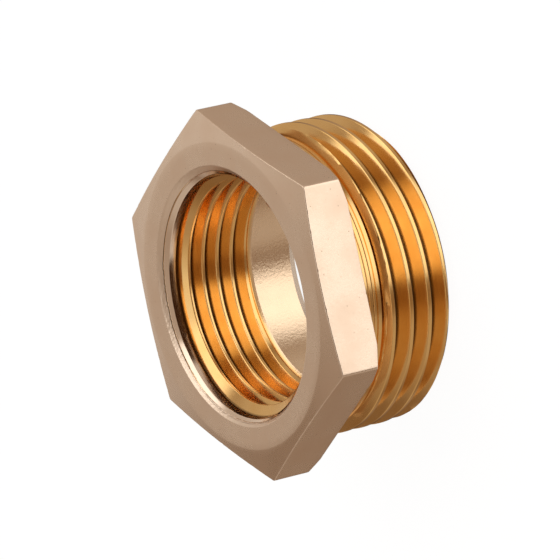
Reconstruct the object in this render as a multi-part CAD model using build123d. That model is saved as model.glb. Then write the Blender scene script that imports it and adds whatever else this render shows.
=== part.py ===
from build123d import *
import math
import os

# Hex bushing: a one-piece brass reducing bush. A hexagonal head carries the mouth of an
# inner pipe thread, and a threaded spigot stands out of the back of the head.
# Millimetres, +Z up. The origin is the middle of the spigot's end face: the spigot is
# below, the head above, and the mouth of the inner thread looks up along +Z.
# Two opposite flats of the hexagon face +X and -X.

# ---- sizes -------------------------------------------------------------------------
overall_length = 17.2          # end face of the spigot to the top of the head
head_height = 5.5              # thickness of the hexagonal head
across_flats = 34.5            # flat to opposite flat

# outer pipe thread, G 1
outer_major_d = 33.249         # over the crests
outer_pitch = 2.309            # 11 threads to the inch
outer_top_crest_depth = 9.05   # from the top of the head down to the uppermost crest

# inner pipe thread, G 3/4
inner_minor_d = 24.117         # through the crests
inner_pitch = 1.814            # 14 threads to the inch
inner_first_crest_depth = 2.7  # from the top of the head down to the first full crest
inner_crests = 5               # full crests, counted from the mouth

# the shape both threads share: 55 degrees between flanks
flank_half_angle = 27.5        # from a plane square to the axis
thread_depth_in_pitches = 0.640327
crest_flat_in_pitches = 1 / 6  # width of the flat along a crest, and along a root

# mouth of the inner thread
mouth_d = 27.9                 # 90 degree countersink, at the top of the head

# plain bore behind the inner thread
bore_d = 23.6
bore_end_chamfer = 1.6         # 45 degrees, at the end of the spigot
bore_lip = 0.9                 # the inner thread stops this far below its last crest

# end of the spigot, and the neck under the head
spigot_end_chamfer = 1.05      # 45 degrees
neck_d = 31.4                  # turned down plain under the head

# chamfers of the hexagon
head_face_d = 32.8             # flat ring round the mouth ends here
head_face_slope = 9.4          # degrees, from there out to the corners
head_back_d = 37.5             # under-face is flat out to here
head_back_slope = 25.0         # degrees, only the six corners are touched

# ---- helpers -----------------------------------------------------------------------


def section(points):
    """A flat face in the XZ plane from (radius, height) corners."""
    return make_face(Polyline(*[(r, 0, z) for r, z in points], close=True))


def turned(face):
    """A body of revolution about Z."""
    return revolve(face, axis=Axis.Z)


def groove(pitch, crest_r, outward, z):
    """Section of one thread groove, its root at height z; it opens past the crest."""
    slope = math.tan(math.radians(flank_half_angle))
    depth = thread_depth_in_pitches * pitch
    half_root = crest_flat_in_pitches * pitch / 2
    past = pitch / 12
    side = 1 if outward else -1
    half_open = half_root + (depth + past) * slope
    root_r = crest_r - side * depth
    open_r = crest_r + side * past
    return section([(root_r, z - half_root), (root_r, z + half_root),
                    (open_r, z + half_open), (open_r, z - half_open)])


# ---- the spigot --------------------------------------------------------------------
outer_r = outer_major_d / 2
neck_r = neck_d / 2
head_bottom = overall_length - head_height
top_crest = overall_length - outer_top_crest_depth
shoulder_run = (outer_r - neck_r) * math.tan(math.radians(flank_half_angle))
crest_half = crest_flat_in_pitches * outer_pitch / 2
thread_top = top_crest + crest_half

spigot = section([
    (0, 0), (outer_r - spigot_end_chamfer, 0), (outer_r, spigot_end_chamfer),
    (outer_r, thread_top), (neck_r, thread_top + shoulder_run),
    (neck_r, head_bottom + head_height / 2), (0, head_bottom + head_height / 2)])
root = top_crest - outer_pitch / 2
while root > spigot_end_chamfer:
    spigot -= groove(outer_pitch, outer_r, True, root)
    root -= outer_pitch
body = turned(spigot)

# ---- the hexagonal head ------------------------------------------------------------
head = Pos(0, 0, head_bottom) * extrude(
    RegularPolygon(across_flats / 2, 6, major_radius=False, rotation=30), head_height)
past_corner = across_flats / math.sqrt(3) + 1
face_drop = (past_corner - head_face_d / 2) * math.tan(math.radians(head_face_slope))
back_rise = (past_corner - head_back_d / 2) * math.tan(math.radians(head_back_slope))
head &= turned(section([
    (0, head_bottom), (head_back_d / 2, head_bottom), (past_corner, head_bottom + back_rise),
    (past_corner, overall_length - face_drop), (head_face_d / 2, overall_length),
    (0, overall_length)]))
body += head

# ---- the hollow: countersunk mouth, inner thread, plain bore -----------------------
inner_r = inner_minor_d / 2
bore_r = bore_d / 2
mouth_r = mouth_d / 2
last_crest = overall_length - inner_first_crest_depth - (inner_crests - 1) * inner_pitch
bore_top = last_crest - bore_lip
cone_foot = overall_length - (mouth_r - inner_r)

hollow = section([
    (0, -1), (bore_r + bore_end_chamfer + 1, -1), (bore_r, bore_end_chamfer),
    (bore_r, bore_top), (inner_r, bore_top + inner_r - bore_r), (inner_r, cone_foot),
    (mouth_r + 1, overall_length + 1), (0, overall_length + 1)])
for turn in range(inner_crests):
    hollow += groove(inner_pitch, inner_r, False, last_crest + (turn + 0.5) * inner_pitch)
body -= turned(hollow)

# ---- out ---------------------------------------------------------------------------
os.makedirs("parts", exist_ok=True)
bushing = body.solids()[0]
bushing.label = "bushing_body"
export_step(bushing, "parts/bushing_body.step")
print("bushing_body", round(bushing.volume / 1000, 3), "cm3", bushing.bounding_box().size,
      "solids", len(body.solids()), "valid", bushing.is_valid)
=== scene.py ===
"""A brass hex bushing with two true helical pipe threads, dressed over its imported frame.

The bushing is one body of revolution with a hexagonal head. Its skin is worked out as three
surfaces on (angle, height) grids: the head, the spigot with the outer thread, and the hollow
with the inner thread. Millimetres inside the classes, metres in the meshes.
"""
import logging
import math
from dataclasses import dataclass
from enum import Enum

import bpy
import numpy as np
from mathutils import Matrix, Vector


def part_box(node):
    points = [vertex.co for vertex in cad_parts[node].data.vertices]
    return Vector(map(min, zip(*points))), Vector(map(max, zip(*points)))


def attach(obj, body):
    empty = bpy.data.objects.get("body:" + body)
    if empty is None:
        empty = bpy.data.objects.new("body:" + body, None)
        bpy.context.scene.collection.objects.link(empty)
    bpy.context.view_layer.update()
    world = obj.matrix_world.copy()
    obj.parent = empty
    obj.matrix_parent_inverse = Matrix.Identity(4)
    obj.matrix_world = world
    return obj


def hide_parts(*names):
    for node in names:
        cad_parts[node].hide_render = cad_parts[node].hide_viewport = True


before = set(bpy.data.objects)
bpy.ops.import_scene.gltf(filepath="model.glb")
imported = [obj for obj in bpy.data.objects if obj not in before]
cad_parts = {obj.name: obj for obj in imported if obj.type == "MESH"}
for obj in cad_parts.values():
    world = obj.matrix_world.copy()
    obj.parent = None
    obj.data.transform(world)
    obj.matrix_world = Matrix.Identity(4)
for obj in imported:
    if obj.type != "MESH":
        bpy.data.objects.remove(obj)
log = logging.getLogger("bushing")
MM = 0.001
NODE = "bushing_body"

Pair = tuple[float, float]
Triple = tuple[float, float, float]
Colour = tuple[float, float, float]
Socket = bpy.types.NodeSocket


class Side(Enum):
    """Which way the crests of a thread stand."""

    OUTWARD = 1
    INWARD = -1


# ---------------------------------------------------------------------------------------
# surfaces


def smoothstep(x: np.ndarray, low: float, high: float) -> np.ndarray:
    """Ease from 0 at low to 1 at high, as 3t^2 - 2t^3 of the fraction between them.

    Args:
        x: Values to ease.
        low: Where the result leaves 0.
        high: Where the result reaches 1.

    Returns:
        The eased values, the same shape as x.
    """
    t = np.clip((x - low) / (high - low), 0.0, 1.0)
    return t * t * (3.0 - 2.0 * t)


def weld(points: np.ndarray, quads: np.ndarray, grain: float = 2e-5) -> tuple[np.ndarray, np.ndarray]:
    """Merge points that fall on the same spot and drop the triangles that this flattens.

    Args:
        points: (n, 3) places in millimetres.
        quads: (m, 4) corner indices, wound so that the faces look outwards.
        grain: Size of the cells in millimetres in which points count as one.

    Returns:
        Which points are kept, and the (k, 3) triangles between those.
    """
    _, first, place = np.unique(np.round(points / grain).astype(np.int64), axis=0,
                                return_index=True, return_inverse=True)
    quads = place.ravel()[quads]
    triangles = np.concatenate([quads[:, [0, 1, 2]], quads[:, [0, 2, 3]]])
    a, b, c = triangles.T
    return first, triangles[(a != b) & (b != c) & (c != a)]


@dataclass(frozen=True)
class Grid:
    """Rows of radius and height in millimetres, with one column for each angle round the axis.

    marks holds values from 0 to 1 at the same places, kept as attributes for the finish.
    rows_per_turn says how many rows a helix climbs in one turn, and is 0 for plain rings.
    """

    radius: np.ndarray
    height: np.ndarray
    marks: dict[str, np.ndarray]
    rows_per_turn: int = 0

    def carried(self, angle: np.ndarray, outward: bool) -> tuple[np.ndarray, np.ndarray]:
        """Carry the rows round the axis and close them on themselves.

        Point (i, j) stands at (radius cos angle_i, radius sin angle_i, height). Past the last
        angle a row joins the row rows_per_turn above it, which closes a helix.

        Args:
            angle: (columns,) angles in radians, from 0 and below a full turn.
            outward: True if rows that go up make faces that look away from the axis.

        Returns:
            (n, 3) points and (m, 4) corner indices.
        """
        columns, rows = self.radius.shape
        x, y = self.radius * np.cos(angle)[:, None], self.radius * np.sin(angle)[:, None]
        points = np.stack([x, y, self.height], -1)
        index = np.arange(columns * rows).reshape(columns, rows)
        low, high = index[:-1, :-1], index[:-1, 1:]
        low_next, high_next = index[1:, :-1], index[1:, 1:]
        quads = np.stack([low, low_next, high_next, high], -1).reshape(-1, 4)
        last, shifted = index[-1], index[0, self.rows_per_turn:]
        keep = rows - self.rows_per_turn
        seam = np.stack([last[:keep - 1], shifted[:-1], shifted[1:], last[1:keep]], -1)
        quads = np.concatenate([quads, seam])
        return points.reshape(-1, 3), quads if outward else quads[:, ::-1]


def skin(name: str, angle: np.ndarray, grids: tuple[Grid, ...], outward: bool,
         sharp_deg: float) -> bpy.types.Object:
    """Carry grids round the axis and weld them into one smooth-shaded object with sharp creases.

    Args:
        name: Name of the object and its mesh.
        angle: (columns,) angles in radians that the grids share.
        grids: The grids, which carry the same marks.
        outward: True if rows that go up make faces that look away from the axis.
        sharp_deg: Edges bent by more than this are shaded as creases.

    Returns:
        The new object, at the origin, linked to the scene.
    """
    points, quads = [], []
    count = 0
    for part in grids:
        more, corners = part.carried(angle, outward)
        points.append(more)
        quads.append(corners + count)
        count += len(more)
    kept, triangles = weld(np.concatenate(points), np.concatenate(quads))
    places = np.concatenate(points)[kept]
    mesh = bpy.data.meshes.new(name)
    mesh.vertices.add(len(places))
    mesh.vertices.foreach_set("co", (places * MM).astype(np.float32).ravel())
    mesh.loops.add(triangles.size)
    mesh.loops.foreach_set("vertex_index", triangles.astype(np.int32).ravel())
    mesh.polygons.add(len(triangles))
    mesh.polygons.foreach_set("loop_start", np.arange(0, triangles.size, 3, dtype=np.int32))
    mesh.update(calc_edges=True)
    mesh.validate()
    mesh.polygons.foreach_set("use_smooth", np.ones(len(mesh.polygons), dtype=bool))
    mesh.set_sharp_from_angle(angle=math.radians(sharp_deg))
    for key in grids[0].marks:
        values = np.concatenate([part.marks[key].ravel() for part in grids])
        mark = mesh.attributes.new(key, "FLOAT", "POINT")
        mark.data.foreach_set("value", values[kept].astype(np.float32))
    piece = bpy.data.objects.new(name, mesh)
    bpy.context.scene.collection.objects.link(piece)
    return piece


@dataclass(frozen=True)
class PipeThread:
    """A 55 degree pipe thread with flat crests and roots and eased corners, right-handed.

    The crest's middle climbs one pitch a turn and passes crest_height at crest_deg.
    """

    pitch: float
    crest_radius: float
    side: Side
    crest_height: float
    crest_deg: float
    depth_in_pitches: float = 0.640327
    flat_in_pitches: float = 1 / 6
    ease_in_pitches: float = 0.018
    flank_deg: float = 27.5
    rows_at_corner: tuple[float, ...] = (-0.035, -0.018, -0.006, 0.006, 0.018, 0.035)

    def phase(self, angle: np.ndarray, height: np.ndarray) -> np.ndarray:
        """Distance from the middle of a crest in pitches, along the axis.

        Args:
            angle: Angles in radians.
            height: Heights in millimetres.

        Returns:
            Distances from -0.5 to 0.5.
        """
        turn = (angle - math.radians(self.crest_deg)) / (2 * math.pi)
        x = (height - self.crest_height) / self.pitch - turn
        return x - np.round(x)

    def depth(self, phase: np.ndarray) -> np.ndarray:
        """Depth below the crest in millimetres.

        With u = (|x| - half a flat) / tan(flank), the depth is u held between 0 and the full
        depth D; both corners are eased as max(u, 0) = (u + sqrt(u^2 + e^2)) / 2.

        Args:
            phase: Distance from the middle of a crest, in pitches.

        Returns:
            Depths in millimetres, 0 on a crest.
        """
        full, ease = self.depth_in_pitches, self.ease_in_pitches
        u = (np.abs(phase) - self.flat_in_pitches / 2) / math.tan(math.radians(self.flank_deg))
        down = (u + np.sqrt(u * u + ease * ease)) / 2
        left = full - down
        return self.pitch * np.clip(full - (left + np.sqrt(left * left + ease * ease)) / 2, 0, full)

    def radius(self, angle: np.ndarray, height: np.ndarray) -> np.ndarray:
        """Radius of the thread: the crest's radius less the depth, or plus it on an inner one."""
        return self.crest_radius - self.side.value * self.depth(self.phase(angle, height))

    def share(self, angle: np.ndarray, height: np.ndarray) -> np.ndarray:
        """How far down the thread a place is: 0 on a crest, 1 at the bottom of a root."""
        return self.depth(self.phase(angle, height)) / (self.pitch * self.depth_in_pitches)

    def row_fractions(self) -> np.ndarray:
        """Places of the grid's rows within one pitch, close together at the four corners.

        Returns:
            Places in pitches, in rising order.
        """
        h = self.flat_in_pitches / 2
        corners = np.array([-h, h, 0.5 - h, 0.5 + h])[:, None] + np.array(self.rows_at_corner)
        return np.sort(np.concatenate([corners.ravel(), [0.0, 0.25, 0.5, 0.75]]))

    def rows(self, angle: np.ndarray, low: float,
             high: float | np.ndarray) -> tuple[np.ndarray, int]:
        """Heights of grid rows that follow the helix from low to high.

        Row w at an angle a is at crest_height + pitch (w + (a - crest angle) / full turn),
        held between low and high, for every w that reaches the stretch.

        Args:
            angle: (columns,) angles in radians.
            low: Lower end of the stretch in millimetres.
            high: Upper end of the stretch in millimetres, for all columns or (columns, 1).

        Returns:
            (columns, rows) heights, and how many rows a pitch has.
        """
        fractions = self.row_fractions()
        first = math.floor((low - self.crest_height) / self.pitch) - 2
        last = math.ceil((np.max(high) - self.crest_height) / self.pitch) + 2
        w = (np.arange(first, last)[:, None] + fractions[None, :]).ravel()
        turn = (angle - math.radians(self.crest_deg)) / (2 * math.pi)
        height = self.crest_height + self.pitch * (w[None, :] + turn[:, None])
        return np.clip(height, low, high), len(fractions)


# ---------------------------------------------------------------------------------------
# finishes


class Nodes:
    """A node tree, with short calls to add and join nodes."""

    def __init__(self, tree: bpy.types.NodeTree, output: str = "ShaderNodeOutputMaterial") -> None:
        """Empty the tree and give it an output.

        Args:
            tree: The tree to fill.
            output: Type name of the output node.
        """
        self.tree = tree
        self.tree.nodes.clear()
        self.out = self.add(output)

    def add(self, kind: str, **settings: object) -> bpy.types.Node:
        """Add a node and set its properties.

        Args:
            kind: The node's type name.
            **settings: Properties of the node.

        Returns:
            The new node.
        """
        node = self.tree.nodes.new(kind)
        for key, value in settings.items():
            setattr(node, key, value)
        return node

    def join(self, source: Socket, target: Socket) -> None:
        """Link an output to an input."""
        self.tree.links.new(source, target)

    def feed(self, value: Socket | float | Colour, target: Socket) -> None:
        """Link a socket to an input, or write a plain number or colour into it.

        Args:
            value: Socket, number or colour.
            target: The input.
        """
        if isinstance(value, bpy.types.NodeSocket):
            self.join(value, target)
        else:
            target.default_value = (*value, 1.0) if isinstance(value, tuple) else value

    def place(self, stretch: Triple = (1.0, 1.0, 1.0)) -> Socket:
        """Object coordinates in millimetres.

        Args:
            stretch: What each axis is multiplied by.

        Returns:
            The coordinates.
        """
        where = self.add("ShaderNodeTexCoord")
        scaled = self.add("ShaderNodeVectorMath", operation="MULTIPLY")
        scaled.inputs[1].default_value = [s / MM for s in stretch]
        self.join(where.outputs["Object"], scaled.inputs[0])
        return scaled.outputs[0]

    def mark(self, name: str) -> Socket:
        """A value that the mesh carries at its points."""
        return self.add("ShaderNodeAttribute", attribute_name=name).outputs["Fac"]

    def noise(self, where: Socket, scale: float, detail: float = 3.0, rough: float = 0.55) -> Socket:
        """Fractal noise.

        Args:
            where: Coordinates in millimetres.
            scale: Cells in a millimetre.
            detail: How many finer octaves are added.
            rough: Share that each octave keeps of the one before it.

        Returns:
            Values from 0 to 1.
        """
        node = self.add("ShaderNodeTexNoise")
        for name, number in (("Scale", scale), ("Detail", detail), ("Roughness", rough)):
            node.inputs[name].default_value = number
        self.join(where, node.inputs["Vector"])
        return node.outputs["Fac"]

    def spots(self, where: Socket, scale: float) -> Socket:
        """Distance to the nearest of scattered points.

        Args:
            where: Coordinates in millimetres.
            scale: Points in a millimetre.

        Returns:
            The distance, in parts of a cell.
        """
        node = self.add("ShaderNodeTexVoronoi", feature="F1")
        node.inputs["Scale"].default_value = scale
        self.join(where, node.inputs["Vector"])
        return node.outputs["Distance"]

    def span(self, value: Socket, low: float, high: float, to_low: float, to_high: float) -> Socket:
        """Map one range of values to another, clamped.

        Args:
            value: What is mapped.
            low: Value that becomes to_low.
            high: Value that becomes to_high.
            to_low: Result at low.
            to_high: Result at high.

        Returns:
            The mapped value.
        """
        node = self.add("ShaderNodeMapRange", clamp=True)
        for name, number in (("From Min", low), ("From Max", high),
                             ("To Min", to_low), ("To Max", to_high)):
            node.inputs[name].default_value = number
        self.join(value, node.inputs["Value"])
        return node.outputs["Result"]

    def math(self, operation: str, a: Socket, b: Socket | float = 0.0, c: float = 0.0) -> Socket:
        """One sum of up to three values.

        Args:
            operation: The math node's operation.
            a: First value.
            b: Second value.
            c: Third value.

        Returns:
            The result.
        """
        node = self.add("ShaderNodeMath", operation=operation)
        self.join(a, node.inputs[0])
        self.feed(b, node.inputs[1])
        node.inputs[2].default_value = c
        return node.outputs[0]

    def mix(self, share: Socket, a: Socket | float | Colour, b: Socket | float | Colour,
            kind: str = "RGBA") -> Socket:
        """Mix two colours or two numbers.

        Args:
            share: 0 gives a and 1 gives b.
            a: First colour or number.
            b: Second colour or number.
            kind: RGBA for colours, FLOAT for numbers.

        Returns:
            The mixed colour or number.
        """
        first, out = {"RGBA": (6, 2), "FLOAT": (2, 0)}[kind]
        node = self.add("ShaderNodeMix", data_type=kind)
        self.join(share, node.inputs["Factor"])
        self.feed(a, node.inputs[first])
        self.feed(b, node.inputs[first + 1])
        return node.outputs[out]

    def bump(self, height: Socket, depth_mm: float, over: Socket | None = None) -> Socket:
        """Normal of a fine relief.

        Args:
            height: The relief, from 0 to 1.
            depth_mm: How deep it is in millimetres.
            over: Normal of another relief to lie on.

        Returns:
            The normal.
        """
        node = self.add("ShaderNodeBump")
        node.inputs["Strength"].default_value = 1.0
        node.inputs["Distance"].default_value = depth_mm * MM
        self.join(height, node.inputs["Height"])
        if over is not None:
            self.join(over, node.inputs["Normal"])
        return node.outputs["Normal"]

    def metal(self, colour: Socket, roughness: Socket, normal: Socket) -> None:
        """Close the tree with a metal shader.

        Args:
            colour: Colour of the metal.
            roughness: Its roughness.
            normal: Its normal.
        """
        shader = self.add("ShaderNodeBsdfPrincipled")
        shader.inputs["Metallic"].default_value = 1.0
        self.join(colour, shader.inputs["Base Color"])
        self.join(roughness, shader.inputs["Roughness"])
        self.join(normal, shader.inputs["Normal"])
        self.join(shader.outputs["BSDF"], self.out.inputs["Surface"])


@dataclass(frozen=True)
class Finish:
    """A surface finish that makes its material once and hands out the same one after that."""

    name: str

    def nodes(self, n: Nodes) -> None:
        """Fill the material's tree n; each finish has its own."""
        raise NotImplementedError

    def material(self) -> bpy.types.Material:
        """Find the finish's material, or make it on the first call.

        Returns:
            The material.
        """
        found = bpy.data.materials.get(self.name)
        if found is None:
            found = bpy.data.materials.new(self.name)
            found.use_nodes = True
            self.nodes(Nodes(found.node_tree))
        return found


@dataclass(frozen=True)
class SatinBrass(Finish):
    """Pale satin brass of the hexagon: even grain, faint cloudy tarnish, scattered pin pits."""

    name: str = "satin_brass"
    colour: Colour = (0.86, 0.67, 0.51)
    tarnish: Colour = (0.82, 0.60, 0.43)
    pit: Colour = (0.36, 0.22, 0.13)
    roughness: Pair = (0.24, 0.34)
    cloud_share: float = 0.7
    grain_share: float = 0.35
    pit_share: float = 0.55
    grain_depth: float = 0.006
    pit_depth: float = 0.012

    def nodes(self, n: Nodes) -> None:
        """Mix cloudy noise into colour and gloss, and put grain and pits in the relief.

        Args:
            n: The material's tree.
        """
        where = n.place()
        clouds = n.noise(where, 0.22, 4.0)
        grain = n.noise(where, 6.0, 5.0, 0.7)
        pits = n.span(n.spots(where, 1.6), 0.07, 0.13, 1.0, 0.0)
        rare = n.span(n.noise(where, 0.9, 2.0), 0.46, 0.62, 0.0, self.pit_share)
        pits = n.math("MULTIPLY", pits, rare)
        cloudy = n.span(clouds, 0.35, 0.7, 0.0, self.cloud_share)
        colour = n.mix(cloudy, self.colour, self.tarnish)
        colour = n.mix(n.span(grain, 0.35, 0.65, 0.0, self.grain_share), colour, self.tarnish)
        colour = n.mix(pits, colour, self.pit)
        roughness = n.span(n.math("ADD", clouds, grain), 0.7, 1.3, *self.roughness)
        normal = n.bump(grain, self.grain_depth)
        n.metal(colour, roughness, n.bump(n.math("MULTIPLY", pits, -1.0), self.pit_depth, normal))


@dataclass(frozen=True)
class TurnedBrass(Finish):
    """Bright golden brass of the threads and the bore: fine marks of the tool round the axis.

    The mesh says where it turns pale and satin (pale), coarse (coarse), and dark with painted shade in
    thread roots and the mouth's turned line (root).
    """

    name: str = "turned_brass"
    colour: Colour = (0.88, 0.55, 0.22)
    warm: Colour = (0.85, 0.50, 0.175)
    pale: Colour = (0.86, 0.67, 0.51)
    # root is a painted shade colour for the deep thread roots and the turned line's groove
    root: Colour = (0.13, 0.06, 0.018)
    root_shade_from: float = 0.80
    roughness: Pair = (0.12, 0.20)
    coarse_roughness: float = 0.34
    root_roughness: float = 0.4
    mark_stretch: Triple = (0.06, 0.06, 1.0)
    mark_depth: float = 0.003
    chatter_depth: float = 0.05

    def nodes(self, n: Nodes) -> None:
        """Stretch noise round the axis for the tool marks, and vary the colour along it.

        Args:
            n: The material's tree.
        """
        where = n.place()
        marks = n.noise(n.place(self.mark_stretch), 7.0, 4.0, 0.65)
        clouds = n.noise(where, 0.35, 3.0)
        chatter = n.noise(where, 3.2, 3.0, 0.6)
        pale, coarse = n.mark("pale"), n.mark("coarse")
        # painted shade: deep places in roots and groove turn dark and dull
        painted_shade = n.span(n.mark("root"), self.root_shade_from, 1.0, 0.0, 1.0)
        colour = n.mix(n.span(clouds, 0.35, 0.7, 0.0, 1.0), self.colour, self.warm)
        colour = n.mix(painted_shade, n.mix(pale, colour, self.pale), self.root)
        roughness = n.span(n.math("ADD", marks, clouds), 0.75, 1.3, *self.roughness)
        roughness = n.mix(coarse, roughness, self.coarse_roughness, "FLOAT")
        roughness = n.mix(painted_shade, roughness, self.root_roughness, "FLOAT")
        normal = n.bump(marks, self.mark_depth)
        normal = n.bump(n.math("MULTIPLY", chatter, coarse), self.chatter_depth, normal)
        n.metal(colour, roughness, normal)


# ---------------------------------------------------------------------------------------
# the bushing


@dataclass
class Body:
    """Sizes that the three surfaces share, in millimetres; two are read from the frame's box."""

    length: float = 0.0
    flats: float = 0.0
    head: float = 5.5
    mouth_radius: float = 13.95
    mouth_round: float = 0.12
    neck_radius: float = 15.7
    end_bore_radius: float = 13.4
    columns: int = 432

    def __post_init__(self) -> None:
        """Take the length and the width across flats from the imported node."""
        low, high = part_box(NODE)
        self.length = (high.z - low.z) / MM
        self.flats = (high.x - low.x) / MM

    def angles(self) -> np.ndarray:
        """Even angles round the axis, in radians."""
        return np.arange(self.columns) * (2 * math.pi / self.columns)


@dataclass
class Piece:
    """One surface of the bushing: what it is part of and how it is finished."""

    body: Body
    finish: Finish

    def build(self) -> bpy.types.Object:
        """Make and dress the surface; each piece has its own."""
        raise NotImplementedError

    def dress(self, piece: bpy.types.Object) -> bpy.types.Object:
        """Give the surface its finish and hand it back."""
        piece.data.materials.append(self.finish.material())
        return piece


@dataclass
class Head(Piece):
    """The hexagonal head: flat ring, sloping face, rounded edges, six flats and the under-face."""

    ring_radius: float = 16.4
    ring_rows: Pair = (14.8, 15.6)
    crease_half: float = 0.05
    face_slope: float = 0.165
    back_radius: float = 18.7
    back_slope: float = 0.46
    edge_round: float = 0.1
    corner_round: float = 0.35
    corner_reach_deg: float = 1.2
    corner_columns: int = 9
    flat_columns: int = 110
    slope_rows: int = 5
    edge_rows: int = 5
    side_rows: int = 5
    under_rows: int = 13
    nicks: int = 70
    nick_depth: Pair = (0.02, 0.11)
    nick_half_deg: Pair = (0.25, 0.7)
    nick_seeds: tuple[int, int] = (5, 8)
    sharp_deg: float = 22.0

    def angles(self) -> np.ndarray:
        """Angles round the axis, close together at the six corners.

        Returns:
            Angles in radians, in rising order.
        """
        reach, sixth = math.radians(self.corner_reach_deg), math.radians(60)
        corner = np.linspace(-reach, reach, self.corner_columns)
        flat = np.linspace(reach, sixth - reach, self.flat_columns)[1:-1]
        one = np.concatenate([corner, flat]) + math.radians(30)
        turn = one[None, :] + np.arange(6)[:, None] * sixth
        return np.sort(np.mod(turn.ravel(), 2 * math.pi))

    def outline(self, angle: np.ndarray) -> np.ndarray:
        """Radius of the hexagon: a / cos of the angle from the flat, and an arc at each corner.

        Args:
            angle: Angles in radians; a flat looks along 0.

        Returns:
            Radii in millimetres.
        """
        a, r = self.body.flats / 2, self.corner_round
        sixth, half = math.radians(60), math.radians(30)
        off = angle - np.round(angle / sixth) * sixth
        straight = a / np.cos(off)
        from_corner = half - np.abs(off)
        centre = (a - r) / math.cos(half)
        lift = np.maximum(r * r - (centre * np.sin(from_corner)) ** 2, 0)
        arc = centre * np.cos(from_corner) + np.sqrt(lift)
        touch = half - math.atan2(centre * math.sin(half), a)
        return np.where(from_corner < touch, arc, straight)

    def worn_edge(self, angle: np.ndarray, seed: int) -> np.ndarray:
        """Round of an edge: the even round plus small nicks, d exp(-(x / w)^2) each.

        Args:
            angle: Angles in radians.
            seed: Which scatter of nicks to take.

        Returns:
            (columns, 1) radii of the round in millimetres.
        """
        rng = np.random.default_rng(seed)
        least, most = self.nick_depth
        place = rng.uniform(0, 360, self.nicks)
        depth = rng.uniform(0, 1, self.nicks) ** 3 * (most - least) + least
        half = rng.uniform(*self.nick_half_deg, self.nicks)
        off = (np.degrees(angle)[:, None] - place + 180) % 360 - 180
        return self.edge_round + (depth * np.exp(-((off / half) ** 2))).sum(axis=1, keepdims=True)

    @staticmethod
    def steps(rows: int) -> np.ndarray:
        """Even steps above 0 and up to 1, as one row."""
        return np.linspace(0, 1, rows + 1)[None, 1:]

    def face(self, radius: np.ndarray) -> np.ndarray:
        """Height of the face: flat inside its ring, sloping outside it."""
        return self.body.length - self.face_slope * np.maximum(radius - self.ring_radius, 0)

    def under(self, radius: np.ndarray) -> np.ndarray:
        """Height of the under-face: flat near the neck, sloping outside it."""
        bottom = self.body.length - self.body.head
        return bottom + self.back_slope * np.maximum(radius - self.back_radius, 0)

    def build(self) -> bpy.types.Object:
        """Lay rows from the mouth over the face, round the edge, down the flats and in to the neck.

        Each quarter-round edge is (1 - sin, 1 - cos) of its radius, and the face and the
        under-face drop by their slope times the distance past their flat circle.

        Returns:
            The head.
        """
        b = self.body
        angle = self.angles()
        edge, back = (self.worn_edge(angle, seed) for seed in self.nick_seeds)
        rim = self.outline(angle)[:, None]
        ring_in, ring_out = self.ring_radius - self.crease_half, self.ring_radius + self.crease_half
        flat = np.array([b.mouth_radius + b.mouth_round / 2, *self.ring_rows, ring_in, ring_out])
        flat = np.ones_like(rim) * flat[None, :]
        slope = ring_out + (rim - edge - ring_out) * self.steps(self.slope_rows)
        turn = self.steps(self.edge_rows) * (math.pi / 2)
        edge_z = self.face(rim - edge) - edge * (1 - np.cos(turn))
        side_top, side_foot = edge_z[:, -1:], self.under(rim - back) + back
        side_z = side_top + (side_foot - side_top) * self.steps(self.side_rows)
        back_z = self.under(rim - back) + back * (1 - np.sin(turn))
        inner = rim - back + (b.neck_radius - rim + back) * self.steps(self.under_rows)
        side = rim * np.ones_like(side_z)
        radius = np.concatenate([flat, slope, rim - edge + edge * np.sin(turn), side,
                                 rim - back + back * np.cos(turn), inner], 1)
        height = np.concatenate([self.face(flat), self.face(slope), edge_z, side_z, back_z,
                                 self.under(inner)], 1)
        rows = Grid(radius, height, {})
        return self.dress(skin("hex_head", angle, (rows,), False, self.sharp_deg))


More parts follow.
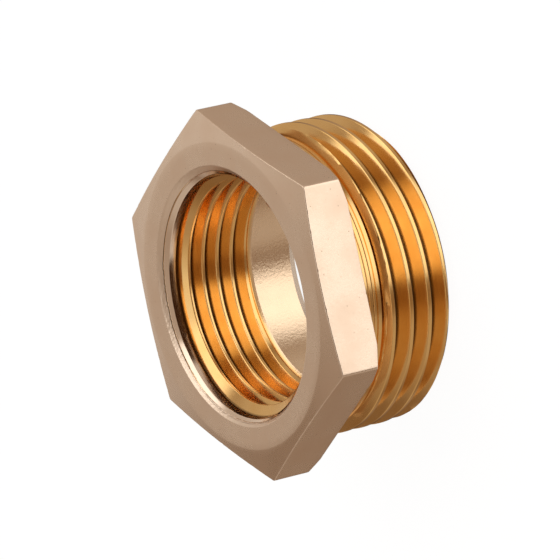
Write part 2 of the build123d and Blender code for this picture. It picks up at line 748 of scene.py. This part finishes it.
@dataclass
class Spigot(Piece):
    """The neck, the outer thread with its run-out, and the chamfered end.

    grooves lists (height, depth, half width) of the fine turned grooves in the neck.
    """

    thread: PipeThread
    neck_foot: float = 8.78
    neck_wall_slope: float = 0.5206
    end_radius: float = 15.5
    fillet: float = 0.2
    fillet_rows: tuple[float, ...] = (0.08, 0.3, 0.6, 1.0)
    grooves: tuple[Triple, ...] = (
        (11.2, 0.08, 0.09), (10.8, 0.1, 0.08), (10.36, 0.08, 0.08), (9.85, 0.08, 0.07),
        (9.43, 0.16, 0.09), (8.82, 0.2, 0.1))
    runout_from: float = 8.5
    runout_slope: float = 2.4
    foot_rows: int = 6
    end_rows: int = 6
    # painted shade in the thread roots: strongest round this angle, on the side toward the camera, and
    # weaker away from it
    root_shade_deg: float = 308.0
    root_shade_reach_deg: Pair = (38.0, 62.0)
    root_shade_share: float = 0.14
    sharp_deg: float = 30.0

    def neck(self, height: np.ndarray) -> np.ndarray:
        """Radius that the thread is cut back to: the neck, its sloping foot and its grooves.

        Args:
            height: Heights in millimetres.

        Returns:
            Radii in millimetres, large below the neck.
        """
        b = self.body
        top = b.length - b.head
        wall = b.neck_radius + np.maximum(self.neck_foot - height, 0) / self.neck_wall_slope
        into_head = self.fillet - np.minimum(top - height, self.fillet)
        wall = wall + self.fillet - np.sqrt(np.maximum(self.fillet**2 - into_head**2, 0))
        for place, depth, half in self.grooves:
            wall = wall - depth * np.clip(1 - np.abs(height - place) / half, 0, 1)
        return wall

    def neck_rows(self) -> np.ndarray:
        """Heights of the neck's rings: run-out and foot, fillet, and three at each groove.

        Returns:
            Heights in millimetres, in rising order.
        """
        top = self.body.length - self.body.head
        rows = [*np.linspace(self.runout_from, self.neck_foot, self.foot_rows),
                top, *(top - self.fillet * np.array(self.fillet_rows))]
        for place, _, half in self.grooves:
            rows += [place - half, place, place + half]
        return np.unique(np.round(rows, 4))

    def turned(self, around: np.ndarray, height: np.ndarray, rows_per_turn: int = 0) -> Grid:
        """The least radius of the thread, the neck and the 45 degree end chamfer.

        The thread rises by runout_slope above runout_from. Its roots carry painted shade, darkest on
        the side toward the camera.

        Args:
            around: (columns, 1) angles in radians.
            height: (columns, rows) heights in millimetres.
            rows_per_turn: Rows that a helix climbs in one turn.

        Returns:
            The grid, marked with how deep in a root each place lies, for the painted shade in the
            roots.
        """
        cut = self.thread.radius(around, height)
        cut = cut + self.runout_slope * np.maximum(height - self.runout_from, 0)
        radius = np.minimum(np.minimum(cut, self.neck(height)), self.end_radius + height)
        near, far = np.radians(self.root_shade_reach_deg)
        # painted shade: the roots darken more on the camera's side
        side_shade = smoothstep(-np.abs(around - math.radians(self.root_shade_deg)), -far, -near)
        # root marks the thread roots, which the finish fills with painted shade
        root = np.where(radius < cut, 0, self.thread.share(around, height))
        root = root * (1 - self.root_shade_share + self.root_shade_share * side_shade)
        return Grid(radius, height, {"root": root}, rows_per_turn)

    def build(self) -> bpy.types.Object:
        """Lay rows along the helix from the end to the run-out, the end face, and rings up the neck.

        Returns:
            The spigot.
        """
        angle = self.body.angles()
        around = angle[:, None]
        threaded = self.turned(around, *self.thread.rows(angle, 0.0, self.runout_from))
        bore = self.body.end_bore_radius
        rim = np.minimum(self.thread.radius(around, np.zeros_like(around)), self.end_radius)
        face = bore + (rim - bore) * np.linspace(0, 1, self.end_rows)[None, :]
        end = Grid(face, np.zeros_like(face), {"root": np.zeros_like(face)})
        neck = self.turned(around, self.neck_rows() * np.ones_like(around))
        return self.dress(skin("spigot", angle, (threaded, end, neck), True, self.sharp_deg))


@dataclass
class Hollow(Piece):
    """The countersunk mouth, the inner thread with its run-out, the plain bore and its chamfer.

    relief is the (height, depth, half width) of the fine groove between thread and bore.
    bore_satin says how pale and how coarse the bore is.
    """

    thread: PipeThread
    bore_radius: float = 11.8
    bore_rows: int = 9
    steep_rows: int = 4
    bore_satin: Pair = (0.7, 0.6)
    lip_height: float = 6.5
    relief: Triple = (6.9, 0.16, 0.1)
    thread_end: float = 7.05
    runout_from: float = 7.4
    runout_slope: float = 3.6
    start_reach: float = 1.6
    start_steps: int = 300
    start_touch: float = 1e-6
    steep_radius: float = 13.05
    steep_shift: float = 0.2
    steep_shift_deg: float = 215.0
    steep_slope: float = 0.364
    corner_blend: float = 0.012
    pale_blend: float = 0.02
    root_reach: float = 0.05
    line_radius: float = 13.43
    line_shift: float = 0.13
    line_shift_deg: float = 190.0
    line_depth: float = 0.12
    line_half: float = 0.055
    line_steps: tuple[float, ...] = (-2.4, -1.0, -0.5, 0.5, 1.0, 2.4)
    line_fade_deg: Pair = (40.0, 175.0)
    line_fade: float = 0.5
    line_tear: float = 0.05
    tear_deg: tuple[Pair, Pair] = ((92.0, 104.0), (122.0, 134.0))
    tear_seed: int = 3
    coarse_blend: Pair = (-0.02, 0.04)
    rim_rows: Pair = (0.3, 0.18)
    rim_edge: tuple[Pair, ...] = ((-0.25, 0.33), (0.02, 0.06), (0.5, 0.0))
    sharp_deg: float = 30.0

    def wall(self, height: np.ndarray) -> np.ndarray:
        """Radius of the plain bore, its lip, the drilled wall with its relief, and the end's cone.

        Args:
            height: Heights in millimetres.

        Returns:
            Radii in millimetres.
        """
        drilled = self.thread.crest_radius
        place, depth, half = self.relief
        wall = np.clip(self.bore_radius + (height - self.lip_height), self.bore_radius, drilled)
        wall = wall + depth * np.clip(1 - np.abs(height - place) / half, 0, 1)
        return np.maximum(wall, self.body.end_bore_radius - height)

    def steep_top(self, angle: np.ndarray) -> np.ndarray:
        """Radius at which the mouth turns steeper, a little off centre."""
        off = angle - math.radians(self.steep_shift_deg)
        return self.steep_radius + self.steep_shift * np.cos(off)

    def cone_height(self, radius: np.ndarray) -> np.ndarray:
        """Height of the mouth's 45 degree cone at a radius."""
        return self.body.length - (self.body.mouth_radius - radius)

    def cone(self, angle: np.ndarray, height: np.ndarray) -> np.ndarray:
        """Radius of the mouth: 45 degrees, and steeper below the corner at steep_top.

        Args:
            angle: (columns, 1) angles in radians.
            height: (columns, rows) heights in millimetres.

        Returns:
            Radii in millimetres.
        """
        corner = self.steep_top(angle)
        above = height - self.cone_height(corner)
        return corner + np.maximum(above, self.steep_slope * above)

    def threaded(self, angle: np.ndarray, height: np.ndarray) -> np.ndarray:
        """Radius of the thread, which rises out of the wall where the tap's lead leaves it."""
        lead = self.runout_slope * np.maximum(self.runout_from - height, 0)
        return self.thread.radius(angle, height) - lead

    def opened(self, angle: np.ndarray, height: np.ndarray) -> np.ndarray:
        """The largest of the wall, the thread t and the mouth's cone c.

        The last two meet in a rounded corner (t + c + sqrt((t - c)^2 + w^2)) / 2.

        Args:
            angle: (columns, 1) angles in radians.
            height: (columns, rows) heights in millimetres.

        Returns:
            Radii in millimetres.
        """
        cut, cone = self.threaded(angle, height), self.cone(angle, height)
        corner = (cut + cone + np.sqrt((cut - cone) ** 2 + self.corner_blend**2)) / 2
        return np.maximum(self.wall(height), corner)

    def tapped(self, angle: np.ndarray) -> Grid:
        """Rows along the helix from the end of the thread up to the corner in the mouth.

        The radius is the larger of wall and thread up to the height at which the thread starts,
        and above it the mouth's cone.

        Args:
            angle: (columns,) angles in radians.

        Returns:
            The grid of the thread.
        """
        around = angle[:, None]
        top = self.cone_height(self.steep_top(around))
        height, turn = self.thread.rows(angle, self.thread_end, top)
        probe = top - self.start_reach * np.linspace(0, 1, self.start_steps)[None, :]
        first = np.argmax(self.threaded(around, probe) >= self.cone(around, probe), axis=1)
        start = probe[np.arange(len(angle)), first]
        height = self.snap(self.snap(height, start), self.runout_from)
        cut, cone = self.threaded(around, height), self.cone(around, height)
        off_start = height - start[:, None]
        below = np.maximum(self.wall(height), cut)
        radius = np.where(off_start < -self.start_touch, below, self.opened(around, height))
        # root marks the inner thread's roots, which the finish fills with painted shade
        root = np.where(radius > cut + self.root_reach, 0, self.thread.share(around, height))
        pale = smoothstep(cone - cut, -self.pale_blend, 0.0)
        pale = np.where(off_start < self.start_touch, 0.0, pale)
        return Grid(radius, height, {"pale": pale, "coarse": np.zeros_like(pale), "root": root}, turn)

    def bored(self, angle: np.ndarray) -> Grid:
        """Rings from the end up the plain bore, over its lip and the relief to the thread's end.

        Args:
            angle: (columns,) angles in radians.

        Returns:
            The grid of the bore.
        """
        place, _, half = self.relief
        cone = self.body.end_bore_radius - self.bore_radius
        lip = self.lip_height + self.thread.crest_radius - self.bore_radius
        close = 0.02
        rows = [0, cone / 2, cone, cone + close,
                *np.linspace(cone + 0.5, self.lip_height - close, self.bore_rows),
                self.lip_height, lip, place - half, place, place + half, self.thread_end]
        height = np.sort(np.array(rows)) * np.ones((len(angle), 1))
        bore = (height < self.lip_height + close / 2).astype(float)
        pale, coarse = (bore * satin for satin in self.bore_satin)
        return Grid(self.wall(height), height,
                    {"pale": pale, "coarse": coarse, "root": np.zeros_like(bore)})

    def line(self, angle: np.ndarray) -> tuple[np.ndarray, np.ndarray]:
        """The fine turned line in the mouth, a little off centre and torn along one stretch.

        It runs at line_radius + line_shift cos(angle - its direction).

        Args:
            angle: (columns,) angles in radians.

        Returns:
            (columns, 1) radii and depths in millimetres.
        """
        line = self.line_radius + self.line_shift * np.cos(angle - math.radians(self.line_shift_deg))
        rise, fall = (np.radians(ends) for ends in self.tear_deg)
        torn = smoothstep(angle, *rise) * (1 - smoothstep(angle, *fall))
        jitter = np.random.default_rng(self.tear_seed).uniform(-1, 1, len(angle))
        line = line + self.line_tear * torn * jitter
        first, last = np.radians(self.line_fade_deg)
        deep = smoothstep(angle, first, first + self.line_fade)
        deep = deep * (1 - smoothstep(angle, last - self.line_fade, last)) * self.line_depth
        return line[:, None], deep[:, None]

    def mouth(self, angle: np.ndarray) -> Grid:
        """Rings of the cone: smooth inside the turned line, coarse outside it, a rounded edge; the
        line's groove is darkened with painted shade.

        Args:
            angle: (columns,) angles in radians.

        Returns:
            The grid of the mouth.
        """
        b, around = self.body, angle[:, None]
        flat = np.ones_like(around)
        line, deep = self.line(angle)
        corner = self.steep_top(around)
        steps = line + np.array(self.line_steps) * self.line_half
        share = np.arange(self.steep_rows)[None, :] / self.steep_rows
        below = corner + (steps[:, :1] - corner) * share
        groove = slice(below.shape[1] + 2, below.shape[1] + 4)
        outer = flat * (b.mouth_radius - np.array([*self.rim_rows, 0.6 * b.mouth_round]))
        radius = np.concatenate([below, steps, outer], 1)
        height = self.cone_height(radius)
        radius = self.opened(around, height)
        radius[:, groove] += deep
        edge = b.mouth_round * np.array(self.rim_edge)
        radius = np.concatenate([radius, flat * (b.mouth_radius + edge[:, 0])], 1)
        height = np.concatenate([height, flat * (b.length - edge[:, 1])], 1)
        # the turned line's groove takes the dark root colour: painted shade in the groove
        painted_shade = np.zeros_like(radius)
        painted_shade[:, groove] = deep / self.line_depth
        coarse = smoothstep(radius - line, *self.coarse_blend)
        return Grid(radius, height, {"pale": 1 - painted_shade, "coarse": coarse, "root": painted_shade})

    def build(self) -> bpy.types.Object:
        """Join the rows along the helix and the rings of bore and mouth in one surface.

        Returns:
            The hollow.
        """
        angle = self.body.angles()
        grids = (self.tapped(angle), self.bored(angle), self.mouth(angle))
        return self.dress(skin("hollow", angle, grids, False, self.sharp_deg))

    @staticmethod
    def snap(height: np.ndarray, place: float | np.ndarray) -> np.ndarray:
        """Move the row nearest to a place onto it, column by column, so that an edge stays crisp.

        Args:
            height: (columns, rows) heights in millimetres.
            place: Height to hit, for all columns or one for each.

        Returns:
            The moved heights.
        """
        moved, place = height.copy(), place * np.ones(len(height))
        nearest = np.argmin(np.abs(height - place[:, None]), axis=1)
        moved[np.arange(len(height)), nearest] = place
        return moved


# ---------------------------------------------------------------------------------------
# the studio


@dataclass(frozen=True)
class SoftBox:
    """An evenly lit or dark patch of the studio, by its angles round and above the object.

    Angles are in degrees, and soft is the width over which its edges fade.
    """

    around: Pair
    above: Pair
    tone: float
    soft: float = 6.0


@dataclass(frozen=True)
class Studio:
    """Pale floor, a soft studio that is brighter from one side, and the camera.

    ring lists (angle round the object, brightness) for what the polished metal mirrors from
    below the level, and sky lists (height above the level, brightness) for what is above it.
    """

    lens_mm: float = 382.27
    sensor_mm: float = 36.0
    reach_m: float = 50.0
    place_mm: Triple = (282.107, -446.98, 345.877)
    right: Triple = (0.0875, -0.56145, -0.82287)
    away: Triple = (-0.45005, 0.71465, -0.53547)
    ring: tuple[Pair, ...] = (
        (-180, 0.37), (-167, 0.25), (-150, 0.4), (-140, 0.5), (-112, 0.54), (-100, 0.46),
        (-95, 0.27), (-79, 0.27), (-71, 1.2), (-62, 1.5), (-46, 1.5), (-30, 1.65), (-18, 1.4),
        (-11, 1.3), (-4, 0.9), (3, 0.3), (10, 0.36), (18, 0.46), (36, 0.58), (58, 0.46),
        (86, 0.36), (106, 0.12), (140, 0.08), (160, 0.25), (180, 0.37))
    sky: tuple[Pair, ...] = (
        (-10, 0.6), (0, 0.7), (16, 0.56), (32, 0.55), (44, 0.4), (60, 0.45), (74, 0.7),
        (84, 1.0), (90, 1.0))
    boxes: tuple[SoftBox, ...] = (
        SoftBox((94, 116), (18, 50), 0.69, 10.0),
        SoftBox((129, 170), (5, 50), 0.24, 10.0),
        SoftBox((-103, -9), (-40, 44), 0.04),
        SoftBox((-18, 64), (30, 78), 1.5),
        SoftBox((40, 78), (47, 80), 1.5))
    level: Pair = (-10.0, -3.0)
    under: Pair = (-62.0, -50.0)
    under_tone: float = 0.85
    white_from: float = 0.8
    warmth: Pair = (0.3, 0.6)
    floor_half_m: float = 3.0
    floor_drop_mm: float = 0.05
    floor_paint: Colour = (0.92, 0.92, 0.92)
    floor_glow: float = 1.06
    floor_share: float = 0.9

    def camera(self) -> None:
        """Stand the camera off the mouth, looking down the way away with right to the right."""
        data = bpy.data.cameras.new("camera")
        data.sensor_width = self.sensor_mm
        data.lens = self.lens_mm
        data.clip_end = self.reach_m
        camera = bpy.data.objects.new("camera", data)
        back = -Vector(self.away).normalized()
        right = Vector(self.right)
        right = (right - right.dot(back) * back).normalized()
        turn = Matrix((right, back.cross(right), back)).transposed()
        camera.matrix_world = Matrix.Translation(Vector(self.place_mm) * MM) @ turn.to_4x4()
        bpy.context.scene.collection.objects.link(camera)
        bpy.context.scene.camera = camera

    def warm(self, tone: float) -> Colour:
        """Colour (t, t q^g, t q^b) of a brightness t, with q the part of white_from it reaches.

        Args:
            tone: Brightness t.

        Returns:
            The colour, neutral from white_from up; warmth holds g and b.
        """
        part = min(tone / self.white_from, 1.0)
        green, blue = (part**power for power in self.warmth)
        return (tone, tone * green, tone * blue)

    def ramp(self, n: Nodes, value: Socket, tones: tuple[Pair, ...]) -> Socket:
        """Colour eased between listed (value, brightness) pairs.

        Args:
            n: Tree to build in.
            value: What the pairs are listed by.
            tones: The pairs, in rising order.

        Returns:
            The colour.
        """
        low, high = tones[0][0], tones[-1][0]
        node = n.add("ShaderNodeValToRGB")
        node.color_ramp.interpolation = "EASE"
        stops = node.color_ramp.elements
        while len(stops) < len(tones):
            stops.new(0.5)
        for stop, (at, tone) in zip(stops, tones):
            stop.position = (at - low) / (high - low)
            stop.color = (*self.warm(tone), 1.0)
        n.join(n.span(value, low, high, 0.0, 1.0), node.inputs["Fac"])
        return node.outputs["Color"]

    def floor(self) -> None:
        """A wide pale sheet under the bushing that takes its shadow.

        It is white to the camera, and mirrored rays pass through it to the studio.
        """
        mesh = bpy.data.meshes.new("floor")
        h = self.floor_half_m
        mesh.from_pydata([(-h, -h, 0), (h, -h, 0), (h, h, 0), (-h, h, 0)], [], [(0, 1, 2, 3)])
        sheet = bpy.data.objects.new("floor", mesh)
        sheet.location.z = -self.floor_drop_mm * MM
        bpy.context.scene.collection.objects.link(sheet)
        material = bpy.data.materials.new("floor_white")
        material.use_nodes = True
        n = Nodes(material.node_tree)
        matt = n.add("ShaderNodeBsdfDiffuse")
        n.feed(self.floor_paint, matt.inputs["Color"])
        glow = n.add("ShaderNodeEmission")
        glow.inputs["Strength"].default_value = self.floor_glow
        path = n.add("ShaderNodeLightPath")
        mix = n.add("ShaderNodeMixShader")
        seen = n.math("MULTIPLY", path.outputs["Is Camera Ray"], self.floor_share)
        n.join(seen, mix.inputs[0])
        n.join(matt.outputs[0], mix.inputs[1])
        n.join(glow.outputs[0], mix.inputs[2])
        clear = n.add("ShaderNodeMixShader")
        through = n.math("MAXIMUM", path.outputs["Is Glossy Ray"], path.outputs["Is Transmission Ray"])
        n.join(through, clear.inputs[0])
        n.join(mix.outputs[0], clear.inputs[1])
        n.join(n.add("ShaderNodeBsdfTransparent").outputs[0], clear.inputs[2])
        n.join(clear.outputs[0], n.out.inputs["Surface"])
        mesh.materials.append(material)

    def mask(self, n: Nodes, box: SoftBox, around: Socket, above: Socket) -> Socket:
        """How far each way into the studio lies inside a soft box.

        Args:
            n: Tree to build in.
            box: The soft box.
            around: Angle round the object in degrees.
            above: Angle above the level in degrees.

        Returns:
            1 inside the box, 0 outside it.
        """
        mask: Socket | float = 1.0
        for value, (start, end) in ((around, box.around), (above, box.above)):
            for edge, rise in ((start, (0.0, 1.0)), (end, (1.0, 0.0))):
                side = n.span(value, edge - box.soft / 2, edge + box.soft / 2, *rise)
                mask = n.math("MULTIPLY", side, mask)
        return mask

    def world(self) -> None:
        """Light by direction: the ring below the level, the sky above it, then the boxes."""
        world = bpy.data.worlds.new("studio")
        bpy.context.scene.world = world
        world.use_nodes = True
        n = Nodes(world.node_tree, "ShaderNodeOutputWorld")
        way = n.add("ShaderNodeTexCoord").outputs["Generated"]
        turn = n.add("ShaderNodeTexGradient", gradient_type="RADIAL")
        n.join(way, turn.inputs["Vector"])
        around = n.math("MULTIPLY_ADD", turn.outputs["Fac"], 360.0, -180.0)
        parts = n.add("ShaderNodeSeparateXYZ")
        n.join(way, parts.inputs[0])
        above = n.math("MULTIPLY", n.math("ARCSINE", parts.outputs["Z"]), math.degrees(1.0))
        low = n.mix(n.span(above, *self.under, 1.0, 0.0), self.ramp(n, around, self.ring),
                      self.warm(self.under_tone))
        sky = self.ramp(n, above, self.sky)
        for box in self.boxes:
            sky = n.mix(self.mask(n, box, around, above), sky, self.warm(box.tone))
        colour = n.mix(n.span(above, *self.level, 0.0, 1.0), low, sky)
        path = n.add("ShaderNodeLightPath")
        colour = n.mix(path.outputs["Is Camera Ray"], colour, (1.0, 1.0, 1.0))
        shade = n.add("ShaderNodeBackground")
        n.join(colour, shade.inputs["Color"])
        n.join(shade.outputs[0], n.out.inputs[0])

    def build(self) -> None:
        """Set up camera, floor and world, and plain colours in the picture."""
        self.camera()
        self.floor()
        self.world()
        bpy.context.scene.view_settings.view_transform = "Standard"


# ---------------------------------------------------------------------------------------


def main() -> None:
    logging.basicConfig(level=logging.INFO, format="%(name)s: %(message)s")
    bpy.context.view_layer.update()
    body = Body()
    satin, turned = SatinBrass(), TurnedBrass()
    outer = PipeThread(pitch=2.309, crest_radius=16.6245, side=Side.OUTWARD,
                       crest_height=body.length - 9.05, crest_deg=300.0)
    inner = PipeThread(pitch=1.814, crest_radius=12.0585, side=Side.INWARD,
                       crest_height=body.length - 2.70, crest_deg=135.0)
    for part in (Head(body, satin), Spigot(body, turned, outer), Hollow(body, turned, inner)):
        piece = part.build()
        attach(piece, "root")
        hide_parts(NODE)
        log.info("%s: %d triangles", piece.name, len(piece.data.polygons))
    Studio().build()


if __name__ == "__main__":
    main()
